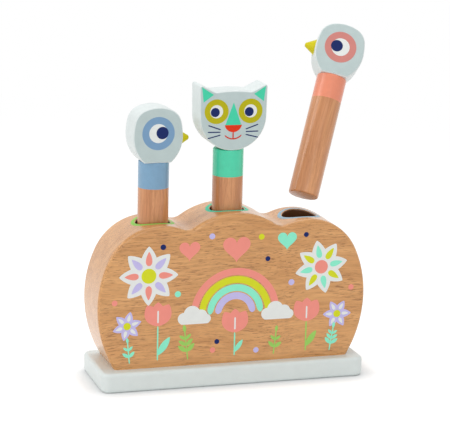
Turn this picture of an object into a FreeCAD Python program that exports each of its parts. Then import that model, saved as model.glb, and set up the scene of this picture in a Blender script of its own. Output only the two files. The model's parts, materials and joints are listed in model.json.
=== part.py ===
import FreeCAD, Part
import math
import os
from FreeCAD import Placement, Rotation, Vector
import Sketcher

# Pop up animal toy: a wooden block with three wells on a painted base board.
# A bird, a cat and a second bird stand on round pegs. Each peg drops into a well
# and rests on a turned plunger, which a coil spring carries.
# Millimetres, Z up. The origin is the middle of the base board's underside,
# X runs along the toy and the animals look towards minus Y.

doc = FreeCAD.newDocument("pop_up_animal_toy")

# Driving dimensions
sizes = doc.addObject("Spreadsheet::Sheet", "Sizes")
DRIVING = [
    ("base_length", 192, "base board along X"),
    ("base_depth", 61, "base board along Y"),
    ("base_thickness", 14, "base board along Z"),
    ("base_corner_radius", 6, "upright corners of the base board"),
    ("base_edge_round", 2.5, "long edges of the base board, top and bottom"),
    ("block_thickness", 44, "block along Y"),
    ("block_edge_round", 2.5, "front and back edges of the block"),
    ("shoulder_height", 114.8, "top of the two outer lobes above the floor"),
    ("shoulder_radius", 40, "outer lobes"),
    ("upper_flank_radius", 80, "sides of the block above the widest line"),
    ("flank_drop", 17, "widest line below the centre of the shoulder arc"),
    ("lower_flank_radius", 86, "sides of the block below the widest line"),
    ("crown_height", 121.7, "top of the middle lobe above the floor"),
    ("crown_radius", 50, "middle lobe"),
    ("valley_radius", 10, "soft hollow between two lobes"),
    ("well_pitch", 53.8, "from one well to the next"),
    ("well_diameter", 24, "bore of each well"),
    ("mouth_round", 0.8, "rim of each well"),
    ("dowel_diameter", 21.6, "round pegs"),
    ("side_dowel_length", 90, "pegs of the two birds"),
    ("cat_dowel_length", 97, "peg of the cat"),
    ("dowel_end_round", 1.2, "lower rim of a peg"),
    ("dowel_top_chamfer", 0.4, "upper rim of a peg"),
    ("pin_diameter", 8, "wooden pin between a peg and its head"),
    ("pin_depth", 12, "pin hole in the peg and in the head"),
    ("pin_end_gap", 0.5, "glue space at each end of a pin"),
    ("pin_chamfer", 0.8, "ends of a pin"),
    ("head_thickness", 21.6, "all three heads"),
    ("head_edge_round", 1.2, "front and back edges of a head"),
    ("bird_head_width", 35.4, "bird's head"),
    ("bird_head_height", 38.6, "bird's head above its peg"),
    ("bird_seat_width", 19, "flat under a bird's head"),
    ("bird_cheek_height", 18, "widest line of a bird's head"),
    ("bird_side_radius", 46, "sides of a bird's head"),
    ("bird_corner_radius", 12, "upper corners of a bird's head"),
    ("bird_crown_radius", 25, "top of a bird's head"),
    ("left_beak_height", 15.4, "left beak above its peg"),
    ("right_beak_height", 19.2, "right beak above its peg"),
    ("beak_diameter", 12.6, "root of a beak"),
    ("beak_tip_diameter", 2.6, "tip of a beak"),
    ("beak_tip_round", 1.2, "rounded tip of a beak"),
    ("beak_length", 7, "beak in front of its seat"),
    ("beak_seat_depth", 1.4, "flat seat bored for the beak"),
    ("beak_seat_clearance", 0.1, "round the root of the beak, on the radius"),
    ("beak_peg_diameter", 5, "spigot behind the beak"),
    ("beak_peg_length", 6, "spigot behind the beak"),
    ("cat_chin_radius", 24, "round lower half of the cat's head"),
    ("cat_ear_spread", 24.4, "ear tip from the middle"),
    ("cat_ear_height", 46.8, "ear tips above the peg"),
    ("cat_ear_foot", 12.8, "inner foot of an ear from the middle"),
    ("cat_ear_foot_height", 40.9, "inner foot of an ear above the peg"),
    ("cat_brow_height", 41.8, "top of the brow above the peg"),
    ("cat_ear_tip_round", 1.6, "ear tips"),
    ("cat_ear_foot_round", 5, "hollow where an ear meets the brow"),
    ("plunger_diameter", 22.4, "turned disc under a peg"),
    ("plunger_thickness", 8, "turned disc under a peg"),
    ("plunger_edge_round", 0.8, "rims of the disc"),
    ("plunger_spigot_length", 6, "stub of the plunger inside the spring"),
    ("seat_height", 5, "spring seat above the base board"),
    ("seat_tenon_diameter", 10, "glued tenon of a spring seat"),
    ("seat_tenon_length", 7, "glued tenon of a spring seat"),
    ("spring_mean_diameter", 17, "to the middle of the wire"),
    ("wire_diameter", 1, "spring wire"),
    ("spring_length", 44, "loaded by its peg, over the outside of the wire"),
    ("spring_turns", 9, "turns from end to end"),
    ("spring_fit", 0.3, "round a stub inside a spring, and at both spring ends"),
    ("screw_diameter", 4, "wood screws up through the base board"),
    ("screw_head_diameter", 8, "countersunk heads"),
    ("screw_length", 42, "over the head"),
    ("screw_tip_length", 4, "pointed tip"),
    ("screw_sink", 0.5, "heads below the base board's underside"),
    ("pilot_clearance", 1, "pilot hole beyond the tip of its screw"),
    ("screw_spread", 11, "screws from the middle plane, along Y"),
    ("recess_width", 1.1, "cross recess in a screw head"),
    ("recess_span", 4.4, "cross recess in a screw head"),
    ("recess_depth", 1.4, "cross recess in a screw head"),
    ("lean_angle", 28.5, "raised peg, from upright, in degrees"),
    ("lean_heading", 45.5, "way the raised peg leans, from X towards Y, in degrees"),
    ("lift_clear", 12.9, "raised peg's lower end from the mouth, along the peg"),
    ("left_head_turn", 1, "left bird's head about its peg, in degrees"),
    ("cat_head_turn", -1, "cat's head about its peg, in degrees"),
    ("right_head_turn", -15, "right bird's head about its peg, in degrees"),
]
for row, (alias, value, note) in enumerate(DRIVING, start=1):
    sizes.set("A%d" % row, alias.replace("_", " "))
    sizes.set("B%d" % row, str(value))
    sizes.setAlias("B%d" % row, alias)
    sizes.set("C%d" % row, note)
doc.recompute()


def size(alias):
    """The value of one driving dimension."""
    return float(getattr(sizes, alias))


def bind(feature, **bindings):
    """Ties properties of a feature to expressions. Two underscores stand for a dot."""
    for name, expression in bindings.items():
        feature.setExpression(name.replace("__", "."), expression)


# Levels and places that follow from the driving dimensions
PLUNGER_FOOT = "(Sizes.base_thickness + 2 * Sizes.spring_fit + Sizes.spring_length)"
STUB_RADIUS = "((Sizes.spring_mean_diameter - Sizes.wire_diameter) / 2 - Sizes.spring_fit)"
WELLS = [("left", -1), ("middle", 0), ("right", 1)]

# Two places closer than this count as one, and so do a drawn edge and the size it stands for
SAME_PLACE = 1e-4
SAME_SIZE = 1e-3
RIM_SAMPLES = 9

shoulder_centre_height = size("shoulder_height") - size("shoulder_radius")
flank_height = shoulder_centre_height - size("flank_drop")
plunger_top = (size("base_thickness") + 2 * size("spring_fit") + size("spring_length")
               + size("plunger_thickness"))


# Bodies, sketches and outlines

def new_body(label):
    body = doc.addObject("PartDesign::Body", label)
    body.Label = label
    return body


def new_sketch(body, name, plane_role):
    """A sketch on one of the body's own origin planes."""
    sketch = body.newObject("Sketcher::SketchObject", name)
    plane = [f for f in body.Origin.OriginFeatures if f.Role == plane_role][0]
    sketch.AttachmentSupport = (plane, [""])
    sketch.MapMode = "FlatFace"
    return sketch


def line(start, end):
    return Part.LineSegment(Vector(start[0], start[1], 0), Vector(end[0], end[1], 0)), True


def arc(centre, start, end, turns_left=True):
    """An arc about centre from start to end, anticlockwise when it turns left."""
    radius = math.hypot(start[0] - centre[0], start[1] - centre[1])
    angles = [math.atan2(p[1] - centre[1], p[0] - centre[0]) for p in (start, end)]
    if not turns_left:
        angles.reverse()
    circle = Part.Circle(Vector(centre[0], centre[1], 0), Vector(0, 0, 1), radius)
    return Part.ArcOfCircle(circle, angles[0], angles[1]), turns_left


def draw_outline(sketch, pieces, smooth):
    """Draws the pieces in order and joins each to the next, tangent where smooth says so."""
    numbers = [sketch.addGeometry(geometry, False) for geometry, _ in pieces]
    for i, number in enumerate(numbers):
        after = (i + 1) % len(pieces)
        leaves = 2 if pieces[i][1] else 1
        enters = 1 if pieces[after][1] else 2
        kind = "Tangent" if smooth[i] else "Coincident"
        sketch.addConstraint(Sketcher.Constraint(kind, number, leaves, numbers[after], enters))
    return numbers


def hold(sketch, expression, *constraint):
    """Adds one measured constraint and ties it to the sheet."""
    number = sketch.addConstraint(Sketcher.Constraint(*constraint))
    sketch.setExpression("Constraints[%d]" % number, expression)


def meet(centre_a, radius_a, centre_b, radius_b, upper=True):
    """Where two circles cross: the upper or the lower of the two points."""
    dx = centre_b[0] - centre_a[0]
    dy = centre_b[1] - centre_a[1]
    apart = math.hypot(dx, dy)
    along = (apart ** 2 + radius_a ** 2 - radius_b ** 2) / (2 * apart)
    aside = math.sqrt(radius_a ** 2 - along ** 2)
    points = []
    for side in (1, -1):
        points.append((centre_a[0] + (along * dx - side * aside * dy) / apart,
                       centre_a[1] + (along * dy + side * aside * dx) / apart))
    points.sort(key=lambda p: p[1])
    return points[1] if upper else points[0]


def towards(centre, target, reach):
    """The point that lies reach from centre on the way to target."""
    apart = math.hypot(target[0] - centre[0], target[1] - centre[1])
    return (centre[0] + (target[0] - centre[0]) * reach / apart,
            centre[1] + (target[1] - centre[1]) * reach / apart)


def mirrored(point):
    return (-point[0], point[1])


def pad_both_ways(body, sketch, name, length):
    pad = body.newObject("PartDesign::Pad", name)
    pad.Profile = sketch
    pad.SideType = "Symmetric"
    bind(pad, Length=length)
    doc.recompute()
    return pad


def round_edges(body, base, name, radius, wanted):
    """Rounds the edges of base that wanted picks out."""
    chosen = ["Edge%d" % (i + 1) for i, edge in enumerate(base.Shape.Edges) if wanted(edge)]
    fillet = body.newObject("PartDesign::Fillet", name)
    fillet.Base = (base, chosen)
    bind(fillet, Radius=radius)
    doc.recompute()
    return fillet


def bevel_edges(body, base, name, width, wanted):
    """Chamfers the edges of base that wanted picks out."""
    chosen = ["Edge%d" % (i + 1) for i, edge in enumerate(base.Shape.Edges) if wanted(edge)]
    chamfer = body.newObject("PartDesign::Chamfer", name)
    chamfer.Base = (base, chosen)
    bind(chamfer, Size=width)
    doc.recompute()
    return chamfer


def in_plane_y(distance):
    """Picks edges that lie wholly in one of the two planes at plus and minus distance."""
    def wanted(edge):
        return all(abs(abs(v.Point.y) - distance) < SAME_PLACE for v in edge.Vertexes)
    return wanted


def at_height(height):
    """Picks edges that lie wholly at one height."""
    def wanted(edge):
        box = edge.BoundBox
        return abs(box.ZMin - height) < SAME_PLACE and abs(box.ZMax - height) < SAME_PLACE
    return wanted


def cylinder(body, name, adds, radius, height, **place):
    kind = "PartDesign::AdditiveCylinder" if adds else "PartDesign::SubtractiveCylinder"
    feature = body.newObject(kind, name)
    bind(feature, Radius=radius, Height=height)
    bind(feature, **{"Placement__Base__" + axis: text for axis, text in place.items()})
    doc.recompute()
    return feature


# Base board

def make_base_board():
    body = new_body("base_board")
    sketch = new_sketch(body, "base_outline", "XY_Plane")
    half_x = size("base_length") / 2
    half_y = size("base_depth") / 2
    corner = size("base_corner_radius")
    pieces = []
    for turn, (sx, sy) in enumerate([(1, -1), (1, 1), (-1, 1), (-1, -1)]):
        centre = (sx * (half_x - corner), sy * (half_y - corner))
        entry_angle = math.radians(-90 + 90 * turn)
        exit_angle = entry_angle + math.pi / 2
        entry = (centre[0] + corner * math.cos(entry_angle),
                 centre[1] + corner * math.sin(entry_angle))
        leave = (centre[0] + corner * math.cos(exit_angle),
                 centre[1] + corner * math.sin(exit_angle))
        if pieces:
            pieces.append(line(last, entry))
        else:
            first = entry
        pieces.append(arc(centre, entry, leave))
        last = leave
    pieces.append(line(last, first))
    numbers = draw_outline(sketch, pieces, [True] * 8)
    for i in (1, 5):
        sketch.addConstraint(Sketcher.Constraint("Vertical", numbers[i]))
    for i in (3, 7):
        sketch.addConstraint(Sketcher.Constraint("Horizontal", numbers[i]))
    for i in (2, 4, 6):
        sketch.addConstraint(Sketcher.Constraint("Equal", numbers[0], numbers[i]))
    hold(sketch, "Sizes.base_corner_radius", "Radius", numbers[0], corner)
    hold(sketch, "Sizes.base_length / 2", "DistanceX", -1, 1, numbers[1], 1, half_x)
    hold(sketch, "Sizes.base_length", "DistanceX", numbers[5], 1, numbers[1], 1, 2 * half_x)
    hold(sketch, "Sizes.base_depth / 2", "DistanceY", -1, 1, numbers[3], 1, half_y)
    hold(sketch, "Sizes.base_depth", "DistanceY", numbers[7], 1, numbers[3], 1, 2 * half_y)
    pad = body.newObject("PartDesign::Pad", "base_slab")
    pad.Profile = sketch
    bind(pad, Length="Sizes.base_thickness")
    doc.recompute()
    top = size("base_thickness")
    rounded = round_edges(body, pad, "base_rims", "Sizes.base_edge_round",
                          lambda edge: at_height(top)(edge) or at_height(0)(edge))
    volume = rounded.Shape.Volume
    for side, way in WELLS:
        cylinder(body, side + "_tenon_hole", False, "Sizes.seat_tenon_diameter / 2",
                 "Sizes.seat_tenon_length",
                 x="%d * Sizes.well_pitch" % way,
                 z="Sizes.base_thickness - Sizes.seat_tenon_length")
    for number, (sx, sy) in enumerate(SCREW_PLACES, start=1):
        cylinder(body, "screw_hole_%d" % number, False, "Sizes.screw_diameter / 2",
                 "Sizes.base_thickness", x=screw_x(sx), y=screw_y(sy))
        sink = body.newObject("PartDesign::SubtractiveCone", "countersink_%d" % number)
        bind(sink, Radius1="Sizes.screw_head_diameter / 2 + Sizes.screw_sink",
             Radius2="Sizes.screw_diameter / 2",
             Height="(Sizes.screw_head_diameter - Sizes.screw_diameter) / 2 + Sizes.screw_sink",
             Placement__Base__x=screw_x(sx), Placement__Base__y=screw_y(sy))
        doc.recompute()
    assert body.Shape.Volume < volume
    return body


SCREW_PLACES = [(-1, -1), (-1, 1), (1, -1), (1, 1)]


def screw_x(way):
    return "%d * Sizes.well_pitch / 2" % way


def screw_y(way):
    return "%d * Sizes.screw_spread" % way


# Block with three lobes

def make_body_block():
    body = new_body("body_block")
    sketch = new_sketch(body, "block_outline", "XZ_Plane")
    floor = size("base_thickness")
    shoulder = (size("well_pitch"), shoulder_centre_height)
    crown = (0, size("crown_height") - size("crown_radius"))
    reach = size("upper_flank_radius") - size("shoulder_radius")
    upper = (shoulder[0] - math.sqrt(reach ** 2 - size("flank_drop") ** 2), flank_height)
    widest = (upper[0] + size("upper_flank_radius"), flank_height)
    lower = (widest[0] - size("lower_flank_radius"), flank_height)
    foot = (lower[0] + math.sqrt(size("lower_flank_radius") ** 2 - (flank_height - floor) ** 2),
            floor)
    valley = meet(crown, size("crown_radius") + size("valley_radius"),
                  shoulder, size("shoulder_radius") + size("valley_radius"))
    upper_end = towards(upper, shoulder, size("upper_flank_radius"))
    shoulder_end = towards(shoulder, valley, size("shoulder_radius"))
    crown_start = towards(crown, valley, size("crown_radius"))
    pieces = [
        line(mirrored(foot), foot),
        arc(lower, foot, widest),
        arc(upper, widest, upper_end),
        arc(shoulder, upper_end, shoulder_end),
        arc(valley, shoulder_end, crown_start, turns_left=False),
        arc(crown, crown_start, mirrored(crown_start)),
        arc(mirrored(valley), mirrored(crown_start), mirrored(shoulder_end), turns_left=False),
        arc(mirrored(shoulder), mirrored(shoulder_end), mirrored(upper_end)),
        arc(mirrored(upper), mirrored(upper_end), mirrored(widest)),
        arc(mirrored(lower), mirrored(widest), mirrored(foot)),
    ]
    smooth = [False] + [True] * 8 + [False]
    numbers = draw_outline(sketch, pieces, smooth)
    sketch.addConstraint(Sketcher.Constraint("Horizontal", numbers[0]))
    hold(sketch, "Sizes.base_thickness", "DistanceY", -1, 1, numbers[0], 1, floor)
    for right, left, radius in ((1, 9, "lower_flank_radius"), (2, 8, "upper_flank_radius"),
                                (3, 7, "shoulder_radius"), (4, 6, "valley_radius")):
        hold(sketch, "Sizes." + radius, "Radius", numbers[right], size(radius))
        hold(sketch, "Sizes." + radius, "Radius", numbers[left], size(radius))
    hold(sketch, "Sizes.crown_radius", "Radius", numbers[5], size("crown_radius"))
    sketch.addConstraint(Sketcher.Constraint("PointOnObject", numbers[5], 3, -2))
    hold(sketch, "Sizes.crown_height - Sizes.crown_radius",
         "DistanceY", -1, 1, numbers[5], 3, crown[1])
    for number, way in ((numbers[3], 1), (numbers[7], -1)):
        hold(sketch, "%d * Sizes.well_pitch" % way, "DistanceX", -1, 1, number, 3,
             way * shoulder[0])
        hold(sketch, "Sizes.shoulder_height - Sizes.shoulder_radius",
             "DistanceY", -1, 1, number, 3, shoulder[1])
    for number in (numbers[1], numbers[2], numbers[8], numbers[9]):
        hold(sketch, "Sizes.shoulder_height - Sizes.shoulder_radius - Sizes.flank_drop",
             "DistanceY", -1, 1, number, 3, flank_height)
    pad = pad_both_ways(body, sketch, "block_slab", "Sizes.block_thickness")
    flat = in_plane_y(size("block_thickness") / 2)
    foot_line = at_height(floor)
    rounded = round_edges(body, pad, "block_rims", "Sizes.block_edge_round",
                          lambda edge: flat(edge) and not foot_line(edge))
    volume = rounded.Shape.Volume
    drill = rounded
    for side, way in WELLS:
        drill = cylinder(body, side + "_well", False, "Sizes.well_diameter / 2",
                         "Sizes.crown_height",
                         x="%d * Sizes.well_pitch" % way, z="Sizes.base_thickness / 2")
    for number, (sx, sy) in enumerate(SCREW_PLACES, start=1):
        drill = cylinder(body, "pilot_hole_%d" % number, False, "Sizes.screw_diameter / 2",
                         "Sizes.screw_sink + Sizes.screw_length + Sizes.pilot_clearance",
                         x=screw_x(sx), y=screw_y(sy))
    assert body.Shape.Volume < volume

    def on_a_mouth(edge):
        """An edge round the top of a well: in the bore's wall and well above the foot."""
        if edge.BoundBox.ZMin < shoulder_centre_height:
            return False
        for _, way in WELLS:
            axis = Vector(way * size("well_pitch"), 0, 0)
            reaches = [math.hypot(p.x - axis.x, p.y) for p in edge.discretize(RIM_SAMPLES)]
            if all(abs(r - size("well_diameter") / 2) < SAME_SIZE for r in reaches):
                return True
        return False
    round_edges(body, drill, "mouth_rims", "Sizes.mouth_round", on_a_mouth)
    return body


# Heads

def finish_head(body, sketch, turn):
    """Pads a head's outline, rounds its rims and bores its pin hole."""
    pad = pad_both_ways(body, sketch, body.Label + "_slab", "Sizes.head_thickness")
    round_edges(body, pad, body.Label + "_rims", "Sizes.head_edge_round",
                in_plane_y(size("head_thickness") / 2))
    cylinder(body, body.Label + "_pin_hole", False, "Sizes.pin_diameter / 2", "Sizes.pin_depth")
    return body


def make_bird_head(label, beak_way, beak_height):
    """A bird's head about its own peg, its flat seat at height 0."""
    body = new_body(label)
    sketch = new_sketch(body, label + "_outline", "XZ_Plane")
    half = size("bird_head_width") / 2
    cheek = size("bird_cheek_height")
    inset = half - size("bird_seat_width") / 2
    jaw_radius = (cheek ** 2 + inset ** 2) / (2 * inset)
    seat = (size("bird_seat_width") / 2, 0)
    jaw = (half - jaw_radius, cheek)
    side = (half - size("bird_side_radius"), cheek)
    crown = (0, size("bird_head_height") - size("bird_crown_radius"))
    corner = meet(side, size("bird_side_radius") - size("bird_corner_radius"),
                  crown, size("bird_crown_radius") - size("bird_corner_radius"))
    widest = (half, cheek)
    side_end = towards(corner, side, -size("bird_corner_radius"))
    crown_start = towards(corner, crown, -size("bird_corner_radius"))
    pieces = [
        line(mirrored(seat), seat),
        arc(jaw, seat, widest),
        arc(side, widest, side_end),
        arc(corner, side_end, crown_start),
        arc(crown, crown_start, mirrored(crown_start)),
        arc(mirrored(corner), mirrored(crown_start), mirrored(side_end)),
        arc(mirrored(side), mirrored(side_end), mirrored(widest)),
        arc(mirrored(jaw), mirrored(widest), mirrored(seat)),
    ]
    numbers = draw_outline(sketch, pieces, [False] + [True] * 6 + [False])
    sketch.addConstraint(Sketcher.Constraint("PointOnObject", numbers[0], 1, -1))
    sketch.addConstraint(Sketcher.Constraint("PointOnObject", numbers[0], 2, -1))
    hold(sketch, "Sizes.bird_seat_width / 2", "DistanceX", -1, 1, numbers[0], 2, seat[0])
    hold(sketch, "Sizes.bird_seat_width", "DistanceX", numbers[0], 1, numbers[0], 2, 2 * seat[0])
    for right, left, radius in ((2, 6, "bird_side_radius"), (3, 5, "bird_corner_radius")):
        hold(sketch, "Sizes." + radius, "Radius", numbers[right], size(radius))
        hold(sketch, "Sizes." + radius, "Radius", numbers[left], size(radius))
    hold(sketch, "Sizes.bird_crown_radius", "Radius", numbers[4], size("bird_crown_radius"))
    sketch.addConstraint(Sketcher.Constraint("PointOnObject", numbers[4], 3, -2))
    hold(sketch, "Sizes.bird_head_height - Sizes.bird_crown_radius",
         "DistanceY", -1, 1, numbers[4], 3, crown[1])
    for number, way in ((numbers[2], 1), (numbers[6], -1)):
        hold(sketch, "%d * (Sizes.bird_head_width / 2 - Sizes.bird_side_radius)" % way,
             "DistanceX", -1, 1, number, 3, way * side[0])
    for number in (numbers[1], numbers[2], numbers[6], numbers[7]):
        hold(sketch, "Sizes.bird_cheek_height", "DistanceY", -1, 1, number, 3, cheek)
    finish_head(body, sketch, label)
    seat_bore = cylinder(body, label + "_beak_seat", False,
                         "Sizes.beak_diameter / 2 + Sizes.beak_seat_clearance",
                         "Sizes.bird_head_width",
                         x="%d * (Sizes.bird_head_width / 2 - Sizes.beak_seat_depth)" % beak_way,
                         z="Sizes." + beak_height)
    seat_bore.Placement.Rotation = Rotation(Vector(0, 1, 0), 90 * beak_way)
    peg_bore = cylinder(body, label + "_beak_hole", False, "Sizes.beak_peg_diameter / 2",
                        "Sizes.bird_head_width",
                        x="%d * (Sizes.bird_head_width / 2 - Sizes.beak_seat_depth"
                          " - Sizes.beak_peg_length - Sizes.pin_end_gap)" % beak_way,
                        z="Sizes." + beak_height)
    peg_bore.Placement.Rotation = Rotation(Vector(0, 1, 0), 90 * beak_way)
    doc.recompute()
    return body


def make_cat_head():
    """The cat's head about its own peg, its chin at height 0."""
    body = new_body("cat_head")
    sketch = new_sketch(body, "cat_head_outline", "XZ_Plane")
    radius = size("cat_chin_radius")
    centre = (0, radius)
    ear_tip = (size("cat_ear_spread"), size("cat_ear_height"))
    tip_reach = math.hypot(ear_tip[0], ear_tip[1] - centre[1])
    cheek_angle = math.atan2(ear_tip[1] - centre[1], ear_tip[0]) - math.acos(radius / tip_reach)
    cheek = (radius * math.cos(cheek_angle), centre[1] + radius * math.sin(cheek_angle))
    ear_foot = (size("cat_ear_foot"), size("cat_ear_foot_height"))
    rise = size("cat_brow_height") - ear_foot[1]
    brow_radius = (ear_foot[0] ** 2 + rise ** 2) / (2 * rise)
    brow = (0, size("cat_brow_height") - brow_radius)
    pieces = [
        arc(centre, mirrored(cheek), cheek),
        line(cheek, ear_tip),
        line(ear_tip, ear_foot),
        arc(brow, ear_foot, mirrored(ear_foot)),
        line(mirrored(ear_foot), mirrored(ear_tip)),
        line(mirrored(ear_tip), mirrored(cheek)),
    ]
    numbers = draw_outline(sketch, pieces, [True] + [False] * 4 + [True])
    hold(sketch, "Sizes.cat_chin_radius", "Radius", numbers[0], radius)
    sketch.addConstraint(Sketcher.Constraint("PointOnObject", numbers[0], 3, -2))
    hold(sketch, "Sizes.cat_chin_radius", "DistanceY", -1, 1, numbers[0], 3, radius)
    for number, way in ((numbers[1], 1), (numbers[4], -1)):
        hold(sketch, "%d * Sizes.cat_ear_spread" % way, "DistanceX", -1, 1, number, 2,
             way * ear_tip[0])
        hold(sketch, "Sizes.cat_ear_height", "DistanceY", -1, 1, number, 2, ear_tip[1])
    for end, way in ((1, 1), (2, -1)):
        hold(sketch, "%d * Sizes.cat_ear_foot" % way, "DistanceX", -1, 1, numbers[3], end,
             way * ear_foot[0])
        hold(sketch, "Sizes.cat_ear_foot_height", "DistanceY", -1, 1, numbers[3], end,
             ear_foot[1])
    hold(sketch, "Sizes.cat_brow_height - (Sizes.cat_ear_foot ^ 2"
                 " + (Sizes.cat_brow_height - Sizes.cat_ear_foot_height) ^ 2)"
                 " / (2 * (Sizes.cat_brow_height - Sizes.cat_ear_foot_height))",
         "DistanceY", -1, 1, numbers[3], 3, brow[1])
    pad = pad_both_ways(body, sketch, "cat_head_slab", "Sizes.head_thickness")

    def through_edge_at(place):
        """Picks the edges through the head at one place of the outline and its mirror image."""
        def wanted(edge):
            box = edge.BoundBox
            sharp = box.XLength < SAME_PLACE and box.ZLength < SAME_PLACE
            return (sharp and abs(abs(box.XMin) - place[0]) < SAME_SIZE
                    and abs(box.ZMin - place[1]) < SAME_SIZE)
        return wanted
    tips = round_edges(body, pad, "cat_ear_tips", "Sizes.cat_ear_tip_round",
                       through_edge_at(ear_tip))
    feet = round_edges(body, tips, "cat_ear_feet", "Sizes.cat_ear_foot_round",
                       through_edge_at(ear_foot))
    round_edges(body, feet, "cat_head_rims", "Sizes.head_edge_round",
                in_plane_y(size("head_thickness") / 2))
    cylinder(body, "cat_head_pin_hole", False, "Sizes.pin_diameter / 2", "Sizes.pin_depth")
    return body


def make_beak(label, beak_way):
    """A turned beak with its spigot, about the axis of a peg."""
    body = new_body(label)
    cone = body.newObject("PartDesign::AdditiveCone", label + "_cone")
    bind(cone, Radius1="Sizes.beak_diameter / 2", Radius2="Sizes.beak_tip_diameter / 2",
         Height="Sizes.beak_length + Sizes.beak_seat_depth")
    doc.recompute()
    tip_height = size("beak_length") + size("beak_seat_depth")
    round_edges(body, cone, label + "_tip", "Sizes.beak_tip_round", at_height(tip_height))
    cylinder(body, label + "_spigot", True, "Sizes.beak_peg_diameter / 2",
             "Sizes.beak_peg_length", z="-Sizes.beak_peg_length")
    return body


def make_dowel(label, length):
    """A round peg that stands on its lower end at height 0."""
    body = new_body(label)
    stick = cylinder(body, label + "_stick", True, "Sizes.dowel_diameter / 2", "Sizes." + length)
    lower = round_edges(body, stick, label + "_end", "Sizes.dowel_end_round", at_height(0))
    bevel_edges(body, lower, label + "_top", "Sizes.dowel_top_chamfer", at_height(size(length)))
    cylinder(body, label + "_pin_hole", False, "Sizes.pin_diameter / 2", "Sizes.pin_depth",
             z="Sizes.%s - Sizes.pin_depth" % length)
    return body


def make_neck_pin(label):
    """A wooden pin, half in the peg and half in the head, about the joint at height 0."""
    body = new_body(label)
    pin = cylinder(body, label + "_stick", True, "Sizes.pin_diameter / 2",
                   "2 * (Sizes.pin_depth - Sizes.pin_end_gap)",
                   z="-(Sizes.pin_depth - Sizes.pin_end_gap)")
    bevel_edges(body, pin, label + "_ends", "Sizes.pin_chamfer",
                lambda edge: edge.BoundBox.ZLength < SAME_PLACE)
    return body


def make_plunger(label):
    """A turned disc that carries a peg, with a stub down into the spring."""
    body = new_body(label)
    disc = cylinder(body, label + "_disc", True, "Sizes.plunger_diameter / 2",
                    "Sizes.plunger_thickness")
    round_edges(body, disc, label + "_rims", "Sizes.plunger_edge_round",
                lambda edge: edge.BoundBox.ZLength < SAME_PLACE)
    cylinder(body, label + "_stub", True, STUB_RADIUS, "Sizes.plunger_spigot_length",
             z="-Sizes.plunger_spigot_length")
    return body


def make_spring_seats():
    """Three turned stubs glued into the base board, one in the foot of each spring."""
    stubs = []
    for side, way in WELLS:
        stub = doc.addObject("Part::Cylinder", side + "_seat_stub")
        bind(stub, Radius=STUB_RADIUS, Height="Sizes.seat_height",
             Placement__Base__x="%d * Sizes.well_pitch" % way,
             Placement__Base__z="Sizes.base_thickness")
        tenon = doc.addObject("Part::Cylinder", side + "_seat_tenon")
        bind(tenon, Radius="Sizes.seat_tenon_diameter / 2", Height="Sizes.seat_tenon_length",
             Placement__Base__x="%d * Sizes.well_pitch" % way,
             Placement__Base__z="Sizes.base_thickness - Sizes.seat_tenon_length")
        seat = doc.addObject("Part::Fuse", side + "_seat")
        seat.Base = stub
        seat.Tool = tenon
        stubs.append(seat)
    group = doc.addObject("Part::Compound", "spring_seats")
    group.Links = stubs
    group.Label = "spring_seats"
    return group


def make_base_screws():
    """Four countersunk wood screws, up through the base board into the block."""
    screws = []
    head_height = "(Sizes.screw_head_diameter - Sizes.screw_diameter) / 2"
    for number, (sx, sy) in enumerate(SCREW_PLACES, start=1):
        name = "screw_%d" % number
        head = doc.addObject("Part::Cone", name + "_head")
        bind(head, Radius1="Sizes.screw_head_diameter / 2", Radius2="Sizes.screw_diameter / 2",
             Height=head_height)
        shank = doc.addObject("Part::Cylinder", name + "_shank")
        bind(shank, Radius="Sizes.screw_diameter / 2",
             Height="Sizes.screw_length - Sizes.screw_tip_length - " + head_height,
             Placement__Base__z=head_height)
        tip = doc.addObject("Part::Cone", name + "_tip")
        bind(tip, Radius1="Sizes.screw_diameter / 2", Height="Sizes.screw_tip_length",
             Placement__Base__z="Sizes.screw_length - Sizes.screw_tip_length")
        tip.Radius2 = 0
        solid = doc.addObject("Part::MultiFuse", name + "_solid")
        solid.Shapes = [head, shank, tip]
        slots = []
        for along, across in (("Length", "Width"), ("Width", "Length")):
            slot = doc.addObject("Part::Box", name + "_recess_" + along.lower())
            bind(slot, Height="Sizes.recess_depth")
            slot.setExpression(along, "Sizes.recess_span")
            slot.setExpression(across, "Sizes.recess_width")
            first, second = ("x", "y") if along == "Length" else ("y", "x")
            slot.setExpression("Placement.Base." + first, "-Sizes.recess_span / 2")
            slot.setExpression("Placement.Base." + second, "-Sizes.recess_width / 2")
            slots.append(slot)
        cross = doc.addObject("Part::Fuse", name + "_recess")
        cross.Base = slots[0]
        cross.Tool = slots[1]
        cut = doc.addObject("Part::Cut", name)
        cut.Base = solid
        cut.Tool = cross
        bind(cut, Placement__Base__x=screw_x(sx), Placement__Base__y=screw_y(sy),
             Placement__Base__z="Sizes.screw_sink")
        screws.append(cut)
    group = doc.addObject("Part::Compound", "base_screws")
    group.Links = screws
    group.Label = "base_screws"
    return group


# Springs

def spring_point(turns):
    """A point of the wire's centre line and its direction, so many turns from the foot."""
    radius = size("spring_mean_diameter") / 2
    climb = (size("spring_length") - size("wire_diameter")) / size("spring_turns")
    angle = 2 * math.pi * turns
    point = Vector(radius * math.cos(angle), radius * math.sin(angle), climb * turns)
    heading = Vector(-radius * math.sin(angle), radius * math.cos(angle), climb / (2 * math.pi))
    return point, heading.normalize()


def arc_from(start, heading, end):
    """The arc that leaves start along heading and ends at end."""
    chord = end - start
    normal = heading.cross(chord)
    inward = normal.cross(heading).normalize()
    radius = chord.dot(chord) / (2 * chord.dot(inward))
    centre = start + inward * radius
    middle = (start + end) * 0.5 - centre
    return Part.Arc(start, centre + middle.normalize() * radius, end).toShape()


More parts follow.
